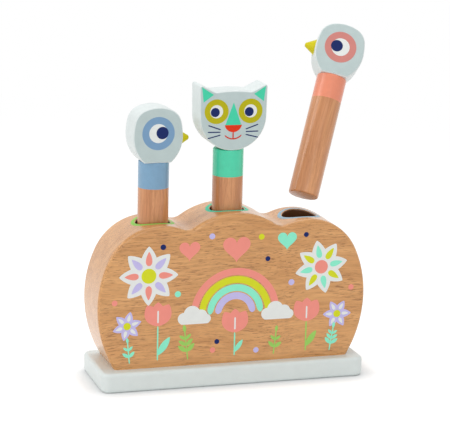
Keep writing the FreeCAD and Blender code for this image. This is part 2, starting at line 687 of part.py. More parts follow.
def biarc(start, start_heading, end, end_heading):
    """Two arcs that share a tangent where they meet, half way between the two ends."""
    chord = end - start
    both = start_heading + end_heading
    slack = 2 * (1 - start_heading.dot(end_heading))
    reach = (math.sqrt(chord.dot(both) ** 2 + slack * chord.dot(chord)) - chord.dot(both)) / slack
    joint = (start + end + (start_heading - end_heading) * reach) * 0.5
    first = arc_from(start, start_heading, joint)
    joint_heading = (end - start - both * reach).normalize()
    second = arc_from(joint, joint_heading, end)
    return [first, second]


def spring_shape():
    """One unbroken wire: quarter turn biarcs, with a straight wire's width at each end."""
    wire = size("wire_diameter")
    quarters = round(size("spring_turns") * 4)
    point, heading = spring_point(0)
    begin = point - heading * wire
    edges = [Part.LineSegment(begin, point).toShape()]
    for quarter in range(quarters):
        after, after_heading = spring_point((quarter + 1) / 4)
        edges += biarc(point, heading, after, after_heading)
        point, heading = after, after_heading
    edges.append(Part.LineSegment(point, point + heading * wire).toShape())
    path = Part.Wire(edges)
    section = Part.Wire([Part.Circle(begin, spring_point(0)[1], wire / 2).toShape()])
    shell = Part.BRepOffsetAPI.MakePipeShell(path)
    shell.add(section)
    shell.build()
    shell.makeSolid()
    return shell.shape(), path


def make_spring(label):
    spring = doc.addObject("Part::Feature", label)
    shape, _ = spring_shape()
    spring.Shape = shape
    spring.Label = label
    return spring


# Build every piece in its own place first
parts = {
    "base_board": make_base_board(),
    "body_block": make_body_block(),
    "base_screws": make_base_screws(),
    "spring_seats": make_spring_seats(),
}
spring_foot = ("Sizes.base_thickness + Sizes.spring_fit + Sizes.wire_diameter / 2")
for side, way in WELLS:
    spring = make_spring(side + "_spring")
    bind(spring, Placement__Base__x="%d * Sizes.well_pitch" % way,
         Placement__Base__z=spring_foot)
    plunger = make_plunger(side + "_plunger")
    bind(plunger, Placement__Base__x="%d * Sizes.well_pitch" % way,
         Placement__Base__z=PLUNGER_FOOT)
    parts[spring.Label] = spring
    parts[plunger.Label] = plunger

# The left bird and the cat stand upright on their plungers
lean = math.radians(size("lean_angle"))
heading = math.radians(size("lean_heading"))
lean_axis = Vector(math.sin(lean) * math.cos(heading), math.sin(lean) * math.sin(heading),
                   math.cos(lean))
lean_turn = Rotation(Vector(0, 0, 1), lean_axis)
mouth = Vector(size("well_pitch"), 0, size("shoulder_height"))
pegs = [
    ("left", Vector(-size("well_pitch"), 0, plunger_top), Rotation(), "side_dowel_length",
     "left_head_turn"),
    ("middle", Vector(0, 0, plunger_top), Rotation(), "cat_dowel_length", "cat_head_turn"),
    ("right", mouth + lean_axis * size("lift_clear"), lean_turn, "side_dowel_length",
     "right_head_turn"),
]
for side, foot, turn, length, head_turn in pegs:
    dowel = make_dowel(side + "_dowel", length)
    dowel.Placement = Placement(foot, turn)
    pin = make_neck_pin(side + "_neck_pin")
    parts[dowel.Label] = dowel
    parts[pin.Label] = pin
    top = foot + turn.multVec(Vector(0, 0, size(length)))
    about_peg = Rotation(Vector(0, 0, 1), size(head_turn))
    seated = Placement(top, turn.multiply(about_peg))
    pin.Placement = seated
    if side == "middle":
        head = make_cat_head()
    else:
        beak_way = 1 if side == "left" else -1
        beak_height = side + "_beak_height"
        head = make_bird_head(side + "_bird_head", beak_way, beak_height)
        beak = make_beak(side + "_beak", beak_way)
        root = Vector(beak_way * (size("bird_head_width") / 2 - size("beak_seat_depth")), 0,
                      size(beak_height))
        own = Placement(root, Rotation(Vector(0, 1, 0), 90 * beak_way))
        beak.Placement = seated.multiply(own)
        parts[beak.Label] = beak
    head.Placement = seated
    parts[head.Label] = head
doc.recompute()

# Checks before anything is written
for item in doc.Objects:
    for state in item.State:
        if state in ("Invalid", "Error"):
            raise RuntimeError("%s is %s" % (item.Label, state))
for label, item in parts.items():
    if item.Shape.isNull() or not item.Shape.isValid():
        raise RuntimeError("%s has no valid shape" % label)
    if item.Label != label:
        raise RuntimeError("%s is labelled %s" % (label, item.Label))

# The spring's least gap to itself, from points along its wire
samples_per_turn = 48
points = [spring_point(i / samples_per_turn)[0]
          for i in range(round(size("spring_turns") * samples_per_turn) + 1)]
least = min((points[i] - points[j]).Length
            for i in range(len(points))
            for j in range(i + samples_per_turn // 2, len(points)))
print("spring: least gap to itself %.2f mm" % (least - size("wire_diameter")))
spring_solid, spring_path = spring_shape()
section_area = math.pi * (size("wire_diameter") / 2) ** 2
print("spring: volume %.1f mm3, section times length %.1f mm3"
      % (spring_solid.Volume, section_area * spring_path.Length))
print("raised peg axis: %.5f %.5f %.5f" % tuple(lean_axis))

# One file for each piece
os.makedirs("parts", exist_ok=True)
for label, item in parts.items():
    item.Shape.exportStep("parts/%s.step" % label)
    box = item.Shape.BoundBox
    print("%-18s %d solids, x %.1f to %.1f, y %.1f to %.1f, z %.1f to %.1f"
          % (label, len(item.Shape.Solids), box.XMin, box.XMax, box.YMin, box.YMax,
             box.ZMin, box.ZMax))
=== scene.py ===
import json
import math

import bpy
import numpy as np
from mathutils import Matrix, Vector


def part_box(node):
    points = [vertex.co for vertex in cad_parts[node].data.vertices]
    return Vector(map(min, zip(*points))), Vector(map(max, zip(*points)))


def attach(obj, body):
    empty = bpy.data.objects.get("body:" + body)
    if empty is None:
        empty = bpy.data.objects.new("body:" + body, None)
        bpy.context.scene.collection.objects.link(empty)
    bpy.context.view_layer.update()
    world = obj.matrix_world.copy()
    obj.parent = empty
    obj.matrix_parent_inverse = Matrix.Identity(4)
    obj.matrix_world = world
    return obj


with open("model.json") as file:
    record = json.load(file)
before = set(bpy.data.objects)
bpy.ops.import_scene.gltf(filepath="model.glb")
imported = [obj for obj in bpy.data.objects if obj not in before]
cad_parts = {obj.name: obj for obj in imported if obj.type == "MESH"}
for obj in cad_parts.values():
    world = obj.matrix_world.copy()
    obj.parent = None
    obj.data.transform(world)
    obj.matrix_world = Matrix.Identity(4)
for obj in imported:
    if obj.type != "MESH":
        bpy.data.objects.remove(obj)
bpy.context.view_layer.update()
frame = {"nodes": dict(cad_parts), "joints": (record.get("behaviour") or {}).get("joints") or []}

# Pop up animal toy: a lacquered block with three wells on a white base board, and a bird,
# a cat and a second bird on round pegs. Metres, Z up, the animals look towards minus Y.

MM = 0.001
WELL_RADIUS = 12 * MM
PHOTO_WIDTH_PX = 450


# Camera, as fitted to the photograph
CAMERA_AZIMUTH = math.radians(-17.5)
CAMERA_ELEVATION = math.radians(12.74)
CAMERA_ROLL = math.radians(1.37)
CAMERA_DISTANCE = 1.3772
CAMERA_TARGET = Vector((-0.0013, 0, 0.1173))
FOCAL_PX = 1960
SENSOR_WIDTH = 36
FAR_CLIP = 50


def add_camera():
    """Looks at the target from its azimuth and elevation, rolled about its own axis."""
    back = Vector((math.sin(CAMERA_AZIMUTH) * math.cos(CAMERA_ELEVATION),
                   -math.cos(CAMERA_AZIMUTH) * math.cos(CAMERA_ELEVATION),
                   math.sin(CAMERA_ELEVATION)))
    level = Vector((math.cos(CAMERA_AZIMUTH), math.sin(CAMERA_AZIMUTH), 0))
    rise = back.cross(level)
    right = level * math.cos(CAMERA_ROLL) + rise * math.sin(CAMERA_ROLL)
    up = rise * math.cos(CAMERA_ROLL) - level * math.sin(CAMERA_ROLL)
    data = bpy.data.cameras.new("camera")
    data.sensor_width = SENSOR_WIDTH
    data.lens = data.sensor_width * FOCAL_PX / PHOTO_WIDTH_PX
    data.clip_end = FAR_CLIP
    camera = bpy.data.objects.new("camera", data)
    turned = Matrix((right, up, back)).transposed().to_4x4()
    camera.matrix_world = Matrix.Translation(CAMERA_TARGET + back * CAMERA_DISTANCE) @ turned
    bpy.context.collection.objects.link(camera)
    bpy.context.scene.camera = camera


add_camera()
bpy.context.scene.view_settings.view_transform = "Standard"


# Colours, matched to the photograph

def shade(red, green, blue):
    """A colour given in 0 to 255 as seen, turned into the linear values that shaders take."""
    channels = np.array([red, green, blue]) / 255
    linear = np.where(channels <= 0.04045, channels / 12.92, ((channels + 0.055) / 1.055) ** 2.4)
    return (*linear.tolist(), 1)


CORAL = shade(255, 156, 142)
MINT = shade(76, 224, 180)
PALE_MINT = shade(150, 252, 218)
LILAC = shade(208, 200, 248)
LIME = shade(226, 232, 40)
LEAF_GREEN = shade(164, 220, 106)
CREAM_WHITE = shade(244, 247, 244)
NAVY = shade(6, 34, 100)
SKY_BLUE = shade(128, 170, 202)
EYE_BLUE = shade(130, 168, 204)
EYE_PINK = shade(222, 142, 134)
PEG_CORAL = shade(246, 148, 114)
RING_OLIVE = shade(196, 188, 8)
BEAK_YELLOW = shade(220, 208, 8)
NOSE_RED = shade(238, 56, 6)
MOUTH_RED = shade(216, 58, 30)
MOUTH_LIME = shade(150, 216, 92)
MOUTH_BLUE = shade(168, 202, 220)
BASE_WHITE = shade(231, 239, 237)
HEAD_RIM = shade(232, 240, 239)
HEAD_RIM_DARK = shade(225, 233, 232)
# The face greys are partly the face paint's own tone and partly painted shade, as the front lies in
# shade
HEAD_FACE_AND_SHADE = shade(200, 216, 215)
HEAD_FACE_AND_SHADE_DARK = shade(194, 210, 209)
WOOD_LIGHT = shade(240, 184, 122)
WOOD_MIDDLE = shade(228, 168, 104)
WOOD_DARK = shade(202, 140, 80)
WOOD_PORE = shade(138, 86, 44)
# Dark brown painted inside the wells as painted shade
BORE_SHADE_BROWN = shade(92, 58, 32)
PEG_LIGHT = shade(236, 172, 120)
PEG_MIDDLE = shade(220, 154, 104)
PEG_DARK = shade(192, 124, 80)
ZINC = (0.72, 0.72, 0.74, 1)
SPRING_STEEL = (0.62, 0.63, 0.65, 1)


# Material building

class Nodes:
    """A short way to add and join the nodes of one material."""

    def __init__(self, name):
        self.material = bpy.data.materials.new(name)
        self.material.use_nodes = True
        self.tree = self.material.node_tree
        self.tree.nodes.clear()
        self.shader = self.add("ShaderNodeBsdfPrincipled")
        output = self.add("ShaderNodeOutputMaterial")
        self.join(self.shader.outputs["BSDF"], output.inputs["Surface"])

    def add(self, kind, **values):
        """A new node with some of its settings."""
        node = self.tree.nodes.new(kind)
        for key, value in values.items():
            setattr(node, key, value)
        return node

    def join(self, source, target):
        """A wire from an output to an input."""
        self.tree.links.new(source, target)

    def feed(self, value, target):
        """Gives an input either another node's output or a plain value."""
        if isinstance(value, bpy.types.NodeSocket):
            self.join(value, target)
        else:
            target.default_value = value

    def place(self, scale=(1, 1, 1), turn=(0, 0, 0)):
        """Object coordinates, turned and then stretched."""
        turned = self.add("ShaderNodeMapping")
        turned.inputs["Rotation"].default_value = turn
        self.join(self.add("ShaderNodeTexCoord").outputs["Object"], turned.inputs["Vector"])
        return self.stretch(turned.outputs["Vector"], scale)

    def stretch(self, vector, scale):
        """A vector stretched by a scale for each of its axes."""
        stretched = self.add("ShaderNodeMapping")
        stretched.inputs["Scale"].default_value = scale
        self.join(vector, stretched.inputs["Vector"])
        return stretched.outputs["Vector"]

    def sway(self, turn, scale, reach):
        """Turned object coordinates, pushed about by slow noise, so that grain runs in waves."""
        straight = self.place((1, 1, 1), turn)
        slow = self.add("ShaderNodeTexNoise")
        slow.inputs["Scale"].default_value = scale
        slow.inputs["Detail"].default_value = 1
        self.join(straight, slow.inputs["Vector"])
        push = self.add("ShaderNodeVectorMath", operation="MULTIPLY_ADD")
        push.inputs[1].default_value = (reach, reach, reach)
        self.join(slow.outputs["Color"], push.inputs[0])
        self.join(straight, push.inputs[2])
        return push.outputs["Vector"]

    def noise(self, vector, scale=1, detail=3, roughness=0.5, distortion=0):
        """Cloudy values from 0 to 1."""
        node = self.add("ShaderNodeTexNoise")
        node.inputs["Scale"].default_value = scale
        node.inputs["Detail"].default_value = detail
        node.inputs["Roughness"].default_value = roughness
        node.inputs["Distortion"].default_value = distortion
        self.join(vector, node.inputs["Vector"])
        return node.outputs["Fac"]

    def ramp(self, value, edges, dark=(0, 0, 0, 1), light=(1, 1, 1, 1)):
        """One colour below the lower edge, another above the upper one, and a blend between."""
        low, high = edges
        node = self.add("ShaderNodeValToRGB")
        node.color_ramp.elements[0].position = low
        node.color_ramp.elements[0].color = dark
        node.color_ramp.elements[1].position = high
        node.color_ramp.elements[1].color = light
        self.join(value, node.inputs["Fac"])
        return node.outputs["Color"]

    def mix(self, amount, first, second, blend="MIX"):
        """Mixes two colours. Amount and colours may be sockets or plain values."""
        node = self.add("ShaderNodeMix", data_type="RGBA", blend_type=blend)
        for value, name in ((amount, "Factor_Float"), (first, "A_Color"), (second, "B_Color")):
            self.feed(value, [socket for socket in node.inputs if socket.identifier == name][0])
        return [socket for socket in node.outputs if socket.identifier == "Result_Color"][0]

    def calculate(self, operation, first, second):
        """One sum on two values, named by Blender's word for it."""
        node = self.add("ShaderNodeMath", operation=operation)
        self.feed(first, node.inputs[0])
        self.feed(second, node.inputs[1])
        return node.outputs[0]

    def bump(self, height, strength, distance):
        """Lets a height shade the surface as if it were cut that deep."""
        node = self.add("ShaderNodeBump")
        node.inputs["Strength"].default_value = strength
        node.inputs["Distance"].default_value = distance
        self.join(height, node.inputs["Height"])
        self.join(node.outputs["Normal"], self.shader.inputs["Normal"])

    def finish(self, colour, roughness, coat=0, coat_roughness=0.3, metallic=0, gloss=0.5):
        """Gives the shader its colour and shine, and hands over the material."""
        self.feed(colour, self.shader.inputs["Base Color"])
        self.feed(roughness, self.shader.inputs["Roughness"])
        self.shader.inputs["Coat Weight"].default_value = coat
        self.shader.inputs["Coat Roughness"].default_value = coat_roughness
        self.shader.inputs["Metallic"].default_value = metallic
        self.shader.inputs["Specular IOR Level"].default_value = gloss
        return self.material


# Wood grain: how far each layer is squeezed along the grain, and where its noise turns over

BLOCK_PORE_DEPTH = 0.7
PEG_PORE_DEPTH = 0.2
WAVE_SCALE = 9
WAVE_REACH = 16 * MM
BAND_SQUEEZE = (3, 26, 34)
BAND_SCALE = 2.2
STREAK_SQUEEZE = (24, 420, 420)
STREAK_SCALE = 1.6
PORE_SQUEEZE = (130, 2000, 2000)
PATCH_SQUEEZE = (22, 60, 60)
BAND_EDGES = (0.36, 0.66)
STREAK_EDGES = (0.38, 0.62)
PORE_EDGES = (0.55, 0.62)
PATCH_EDGES = (0.3, 0.55)
MOTTLE_EDGES = (0.3, 0.7)
STREAK_DARK = (0.80, 0.75, 0.68, 1)
STREAK_LIGHT = (1.05, 1.04, 1.03, 1)
MIDDLE_SHARE = 0.55
STREAK_SHARE = 0.7
BORE_CLEARANCE = 0.2 * MM

# How the finishes shine, and how deep their marks are

LACQUER = {"roughness": 0.5, "coat": 1, "coat_roughness": 0.22, "gloss": 0.1}
HEAD_SHINE = {"roughness": 0.5, "coat": 0.4, "coat_roughness": 0.35, "gloss": 0.2}
PAINT_COAT_ROUGHNESS = 0.3
PAINT_GLOSS = 0.2
PORE_HEIGHT = 0.2 * MM
BRUSH_HEIGHT = 0.12 * MM
BRUSH_SQUEEZE = (120, 900, 900)
HEAD_BRUSH_SQUEEZE = (300, 300, 40)
SCRATCH_SQUEEZE = (200, 2000, 2000)
BLOCK_RELIEF = 0.12
PEG_RELIEF = 0.08
PAINT_RELIEF = 0.10
HEAD_RELIEF = 0.08
BAND_MOTTLE = 260
PAINT_MOTTLE = 180
HEAD_MOTTLE = 150
PAINT_SHADE = 0.94
FACE_AND_SHADE_EDGES = (0.80, 0.97)
SCRATCH_SPREAD = 0.15


def wood_colour(nodes, turn, light, middle, dark, pore, pore_depth):
    """Grain along the turned X axis: broad bands, fine streaks and short dark pores.

    Each layer is noise on coordinates squeezed along the grain, so its features run long there.
    The pore depth is how much of the pores' own colour shows.
    Returns the colour and a mask of the pores.
    """
    wave = nodes.sway(turn, WAVE_SCALE, WAVE_REACH)
    bands = nodes.noise(nodes.stretch(wave, BAND_SQUEEZE), BAND_SCALE,
                        detail=4, roughness=0.55, distortion=1.2)
    streaks = nodes.noise(nodes.stretch(wave, STREAK_SQUEEZE), STREAK_SCALE,
                          roughness=0.6, distortion=0.3)
    pores = nodes.noise(nodes.stretch(wave, PORE_SQUEEZE), detail=2, roughness=0.6)
    patches = nodes.noise(nodes.stretch(wave, PATCH_SQUEEZE), detail=2)
    colour = nodes.mix(nodes.ramp(bands, BAND_EDGES), dark, light)
    colour = nodes.mix(MIDDLE_SHARE, colour, middle)
    streaked = nodes.ramp(streaks, STREAK_EDGES, STREAK_DARK, STREAK_LIGHT)
    colour = nodes.mix(STREAK_SHARE, colour, streaked, "MULTIPLY")
    pitted = nodes.calculate("MULTIPLY", nodes.ramp(pores, PORE_EDGES),
                             nodes.ramp(patches, PATCH_EDGES))
    colour = nodes.mix(nodes.calculate("MULTIPLY", pitted, pore_depth), colour, pore)
    return colour, pitted


def lacquered_wood(name, turn, bores=()):
    """Lacquered wood. Inside a bore, so near its upright axis, the wood is painted dark brown as
    painted shade in the deep well.
    """
    nodes = Nodes(name)
    colour, pitted = wood_colour(nodes, turn, WOOD_LIGHT, WOOD_MIDDLE, WOOD_DARK, WOOD_PORE,
                                 BLOCK_PORE_DEPTH)
    for x, radius in bores:
        where = nodes.add("ShaderNodeTexCoord")
        flat = nodes.add("ShaderNodeVectorMath", operation="MULTIPLY")
        flat.inputs[1].default_value = (1, 1, 0)
        nodes.join(where.outputs["Object"], flat.inputs[0])
        apart = nodes.add("ShaderNodeVectorMath", operation="DISTANCE")
        apart.inputs[1].default_value = (x, 0, 0)
        nodes.join(flat.outputs["Vector"], apart.inputs[0])
        # Painted shade: the wood inside each bore is darkened, as the deep well lies in shade
        inside = nodes.calculate("LESS_THAN", apart.outputs["Value"], radius)
        colour = nodes.mix(inside, colour, BORE_SHADE_BROWN)
    nodes.bump(nodes.calculate("SUBTRACT", 1, pitted), BLOCK_RELIEF, PORE_HEIGHT)
    return nodes.finish(colour, **LACQUER)


def peg_finish(name, axis, paint_from, paint, turn):
    """Lacquered wood with a band of paint above a level along the peg's axis."""
    nodes = Nodes(name)
    colour, pitted = wood_colour(nodes, turn, PEG_LIGHT, PEG_MIDDLE, PEG_DARK, WOOD_PORE,
                                 PEG_PORE_DEPTH)
    where = nodes.add("ShaderNodeTexCoord")
    along = nodes.add("ShaderNodeVectorMath", operation="DOT_PRODUCT")
    along.inputs[1].default_value = axis
    nodes.join(where.outputs["Object"], along.inputs[0])
    painted = nodes.calculate("GREATER_THAN", along.outputs["Value"], paint_from)
    mottled = nodes.noise(nodes.place(), BAND_MOTTLE)
    paint_tone = nodes.mix(nodes.ramp(mottled, MOTTLE_EDGES), darker(paint, PAINT_SHADE), paint)
    colour = nodes.mix(painted, colour, paint_tone)
    nodes.bump(nodes.calculate("SUBTRACT", 1, pitted), PEG_RELIEF, PORE_HEIGHT)
    return nodes.finish(colour, **LACQUER)


def darker(colour, factor):
    """A colour with its light cut down by a factor."""
    return (colour[0] * factor, colour[1] * factor, colour[2] * factor, 1)


def painted_wood(name, colour, depth=PAINT_SHADE, roughness=0.42, coat=0.15):
    """Satin paint: a faint mottle in its colour, and brush and grain marks in its surface."""
    nodes = Nodes(name)
    mottle = nodes.noise(nodes.place(), PAINT_MOTTLE, detail=4)
    tone = nodes.mix(nodes.ramp(mottle, MOTTLE_EDGES), darker(colour, depth), colour)
    nodes.bump(nodes.noise(nodes.place(BRUSH_SQUEEZE)), PAINT_RELIEF, BRUSH_HEIGHT)
    return nodes.finish(tone, roughness, coat, PAINT_COAT_ROUGHNESS, gloss=PAINT_GLOSS)


def head_paint(name, facing):
    """Pale grey paint on the rims, and on the face a slightly cooler, deeper grey that is partly the
    face's own paint and partly painted shade.
    """
    nodes = Nodes(name)
    where = nodes.add("ShaderNodeTexCoord")
    ahead = nodes.add("ShaderNodeVectorMath", operation="DOT_PRODUCT")
    ahead.inputs[1].default_value = facing
    nodes.join(where.outputs["Normal"], ahead.inputs[0])
    # Painted shade: forward-facing surfaces get the face grey, partly its own paint and partly shade
    # on the front
    face_and_shade_mask = nodes.ramp(ahead.outputs["Value"], FACE_AND_SHADE_EDGES)
    mottle = nodes.noise(nodes.place(), HEAD_MOTTLE, detail=4)
    rim = nodes.mix(nodes.ramp(mottle, MOTTLE_EDGES), HEAD_RIM_DARK, HEAD_RIM)
    face = nodes.mix(nodes.ramp(mottle, MOTTLE_EDGES), HEAD_FACE_AND_SHADE_DARK, HEAD_FACE_AND_SHADE)
    nodes.bump(nodes.noise(nodes.place(HEAD_BRUSH_SQUEEZE)), HEAD_RELIEF, BRUSH_HEIGHT)
    return nodes.finish(nodes.mix(face_and_shade_mask, rim, face), **HEAD_SHINE)


def bright_metal(name, colour, roughness):
    """Bare metal with fine scratches in its shine."""
    nodes = Nodes(name)
    scratches = nodes.noise(nodes.place(SCRATCH_SQUEEZE), detail=2)
    rough = nodes.add("ShaderNodeMapRange")
    rough.inputs["To Min"].default_value = roughness
    rough.inputs["To Max"].default_value = roughness + SCRATCH_SPREAD
    nodes.join(scratches, rough.inputs["Value"])
    return nodes.finish(colour, rough.outputs["Result"], metallic=1)


# Where the pieces are, from the frame

def joint(name):
    """The frame's own entry for a joint."""
    return [j for j in frame["joints"] if j["name"] == name][0]


def low(node):
    """The lower corner of a piece's box."""
    return np.array(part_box(node)[0])


def high(node):
    """The upper corner of a piece's box."""
    return np.array(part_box(node)[1])


def middle_of(node):
    """The middle of a piece's box."""
    return (low(node) + high(node)) / 2


UP = np.array([0.0, 0.0, 1.0])
SHOULDER_TOP = 114.8 * MM
LIFT_CLEAR = 12.9 * MM
lean_axis = np.array(joint("right_lift")["axis"], float)
lean_axis = lean_axis / np.linalg.norm(lean_axis)
side_dowel_length = (high("left_dowel") - low("left_dowel"))[2]
peg_axes = {"left": UP, "middle": UP, "right": lean_axis}
peg_tops = {side: np.array([*middle_of(side + "_dowel")[:2], high(side + "_dowel")[2]])
            for side in ("left", "middle")}
well_mouth = np.array([middle_of("right_plunger")[0], 0, SHOULDER_TOP])
peg_tops["right"] = well_mouth + lean_axis * (LIFT_CLEAR + side_dowel_length)

LEFT_HEAD_TURN = math.radians(1)
CAT_HEAD_TURN = math.radians(-1)
RIGHT_HEAD_TURN = math.radians(-15)
HEAD_FRONT = 10.8 * MM


def turn_onto(axis):
    """The shortest turn that brings Z onto an axis, as a matrix."""
    return np.array(Vector((0, 0, 1)).rotation_difference(Vector(axis)).to_matrix())


def turn_about_z(angle):
    """A turn about the upright axis, as a matrix."""
    return np.array(Matrix.Rotation(angle, 3, "Z"))


head_turns = {
    "left": turn_about_z(LEFT_HEAD_TURN),
    "middle": turn_about_z(CAT_HEAD_TURN),
    "right": turn_onto(lean_axis) @ turn_about_z(RIGHT_HEAD_TURN),
}


# Thin printed shapes

PRINT_SUNK = 0.03 * MM
PRINT_PROUD = 0.05 * MM
FILM_STEP = 0.0008 * MM
THINNEST = 0.012 * MM
NARROWEST = 0.002
STEPS = 40
RING_STEPS = 96
END_SQUARENESS = 14
ARC_END = 0.05
PETAL_FULLNESS = 0.75
APEX_SHARE = 0.004
CLEFT = 0.02
HEART_STEPS = 32
FLATTEST = 0.0001


def slab(edge_a, edge_b, layer=0):
    """A thin closed plate between two edges of equally many points, on a flat face.

    The edges are X and Z on the face. Every point is doubled, one copy sunk below the face
    and one proud of it, and the two strips of quads are closed by a rim.
    Returns points as X, height above the face and Z, and the faces.
    """
    count = len(edge_a)
    flat = np.concatenate([edge_a, edge_b])
    proud = PRINT_PROUD * (1 + layer)
    points = np.concatenate([np.column_stack([flat[:, 0], np.full(2 * count, height), flat[:, 1]])
                             for height in (proud, -PRINT_SUNK)])
    i = np.arange(count - 1)
    back = 2 * count
    front_face = np.column_stack([i, i + 1, i + 1 + count, i + count])
    back_face = front_face[:, ::-1] + back
    rim_a = np.column_stack([i + 1, i, i + back, i + 1 + back])
    rim_b = np.column_stack([i, i + 1, i + 1 + back, i + back]) + count
    ends = np.array([[0, count, count + back, back],
                     [2 * count - 1, count - 1, count - 1 + back, 2 * count - 1 + back]])
    return points, np.concatenate([front_face, back_face, rim_a, rim_b, ends])


def turned(points, angle, centre):
    """Flat points turned about the origin and then moved to a centre."""
    cos, sin = math.cos(angle), math.sin(angle)
    return points @ np.array([[cos, sin], [-sin, cos]]) + np.array(centre)


def profile(length, half_width, centre, angle, layer):
    """A plate along a straight spine: half_width gives its half width for 0 to 1 along it."""
    along = np.linspace(0, 1, STEPS)
    half = np.maximum(half_width(along), THINNEST)
    spine = along * length
    edge_a = turned(np.column_stack([spine, half]), angle, centre)
    edge_b = turned(np.column_stack([spine, -half]), angle, centre)
    return slab(edge_a, edge_b, layer)


def disc(centre, radius, layer=0):
    """A round plate: cosine and sine of an even angle, as an upper and a lower half."""
    angle = np.linspace(math.pi, 0, STEPS)
    spread = np.maximum(np.sin(angle), NARROWEST)
    upper = np.column_stack([np.cos(angle), spread]) * radius + np.array(centre)
    lower = np.column_stack([np.cos(angle), -spread]) * radius + np.array(centre)
    return slab(upper, lower, layer)


def bowed(centre, radius, width, start, end):
    """A band of an arc between two angles, with rounded ends.

    Its half width falls off as the root of one minus a high power of the way from its middle.
    """
    angle = np.linspace(start, end, STEPS)
    along = np.linspace(-1, 1, STEPS)
    half = width / 2 * np.maximum(1 - np.abs(along) ** END_SQUARENESS, ARC_END) ** 0.5
    ray = np.column_stack([np.cos(angle), np.sin(angle)])
    outer = ray * (radius + half)[:, None] + np.array(centre)
    inner = ray * (radius - half)[:, None] + np.array(centre)
    return slab(outer, inner)


def stroke(start, end, width, layer=0):
    """A straight brush stroke whose half width falls off at its ends as a band's does."""
    start, end = np.array(start), np.array(end)
    length = np.linalg.norm(end - start)
    angle = math.atan2(end[1] - start[1], end[0] - start[0])
    return profile(length, lambda t: width / 2 * (1 - np.abs(2 * t - 1) ** END_SQUARENESS) ** 0.5,
                   start, angle, layer)


def petal(centre, length, width, angle, layer=0, blunt=0.5):
    """A leaf or petal from its foot.

    Its width is a power of a sine over its length. A blunt one has the sine pushed to the tip.
    """
    def half_width(along):
        return width / 2 * np.sin(math.pi * along ** (1 / (2 * blunt))) ** PETAL_FULLNESS
    return profile(length, half_width, centre, angle, layer)


def heart(centre, size):
    """Two mirrored lobes, each joined to the straight middle line.

    Across goes 16 times the cube of the sine. Up goes 13 cosines of the angle, less 5 of twice,
    2 of three times and 1 of four times the angle. The whole is 32 of these steps wide.
    """
    turn = np.linspace(0, math.pi, STEPS)
    across = np.maximum(16 * np.sin(turn) ** 3, CLEFT)
    rise = 13 * np.cos(turn) - 5 * np.cos(2 * turn) - 2 * np.cos(3 * turn) - np.cos(4 * turn)
    middle = np.column_stack([np.zeros(STEPS), np.linspace(rise[0], rise[-1], STEPS)])
    halves = []
    for way in (1, -1):
        lobe = np.column_stack([way * across, rise])
        halves.append(slab(lobe * size / HEART_STEPS + centre,
                           middle * size / HEART_STEPS + centre))
    return halves


def triangle(apex, foot_a, foot_b):
    """A plate whose two edges run straight from its apex to the ends of its foot."""
    along = np.linspace(APEX_SHARE, 1, STEPS)[:, None]
    apex = np.array(apex)
    return slab(apex + (np.array(foot_a) - apex) * along,
                apex + (np.array(foot_b) - apex) * along)


def gathered(plates, to_world):
    """Joins plates into one set of points in the toy's frame, and one list of faces.

    Each plate lies a hair above the one before it, so that no two of them share a plane.
    """
    points, faces, offset = [], [], 0
    for number, (plate_points, plate_faces) in enumerate(plates):
        lifted = plate_points + np.array([0, number * FILM_STEP, 0])
        points.append(to_world(lifted))
        faces.append(plate_faces + offset)
        offset += len(plate_points)
    return np.concatenate(points), np.concatenate(faces)


def outward(points, faces):
    """Turns all faces over if the closed mesh encloses a negative volume."""
    a, b, c, d = (points[faces[:, k]] for k in range(4))
    volume = (np.einsum("ij,ij->i", a, np.cross(b, c)) + np.einsum("ij,ij->i", a, np.cross(c, d)))
    return faces if volume.sum() > 0 else faces[:, ::-1]


def piece(name, points, faces, material, body):
    """A mesh object from whole arrays, riding on a body."""
    mesh = bpy.data.meshes.new(name)
    mesh.from_pydata(points.tolist(), [], faces.tolist())
    mesh.polygons.foreach_set("use_smooth", np.full(len(faces), False))
    mesh.materials.append(material)
    mesh.update()
    item = bpy.data.objects.new(name, mesh)
    bpy.context.collection.objects.link(item)
    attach(item, body)


def printed(name, plates, to_world, material, body):
    """Plates of one colour as one piece."""
    points, faces = gathered(plates, to_world)
    piece(name, points, outward(points, faces), material, body)


def on_block(points):
    """From the block's front face to the toy's frame."""
    front = low("body_block")[1]
    return np.column_stack([points[:, 0], front - points[:, 1], points[:, 2]])


def on_head(side):
    """From a head's own front face to the toy's frame."""
    def place(points):
        own = np.column_stack([points[:, 0], -HEAD_FRONT - points[:, 1], points[:, 2]])
        return own @ head_turns[side].T + peg_tops[side]
    return place


# Finishes of the pieces that keep their own shape

def dress(node, material):
    """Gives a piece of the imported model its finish."""
    mesh = frame["nodes"][node].data
    mesh.materials.clear()
    mesh.materials.append(material)


ALONG_X = (0, 0, 0)
ALONG_Z = (0, math.pi / 2, 0)
BANDS = {"left": (18.5 * MM, SKY_BLUE), "middle": (19 * MM, MINT), "right": (18 * MM, PEG_CORAL)}

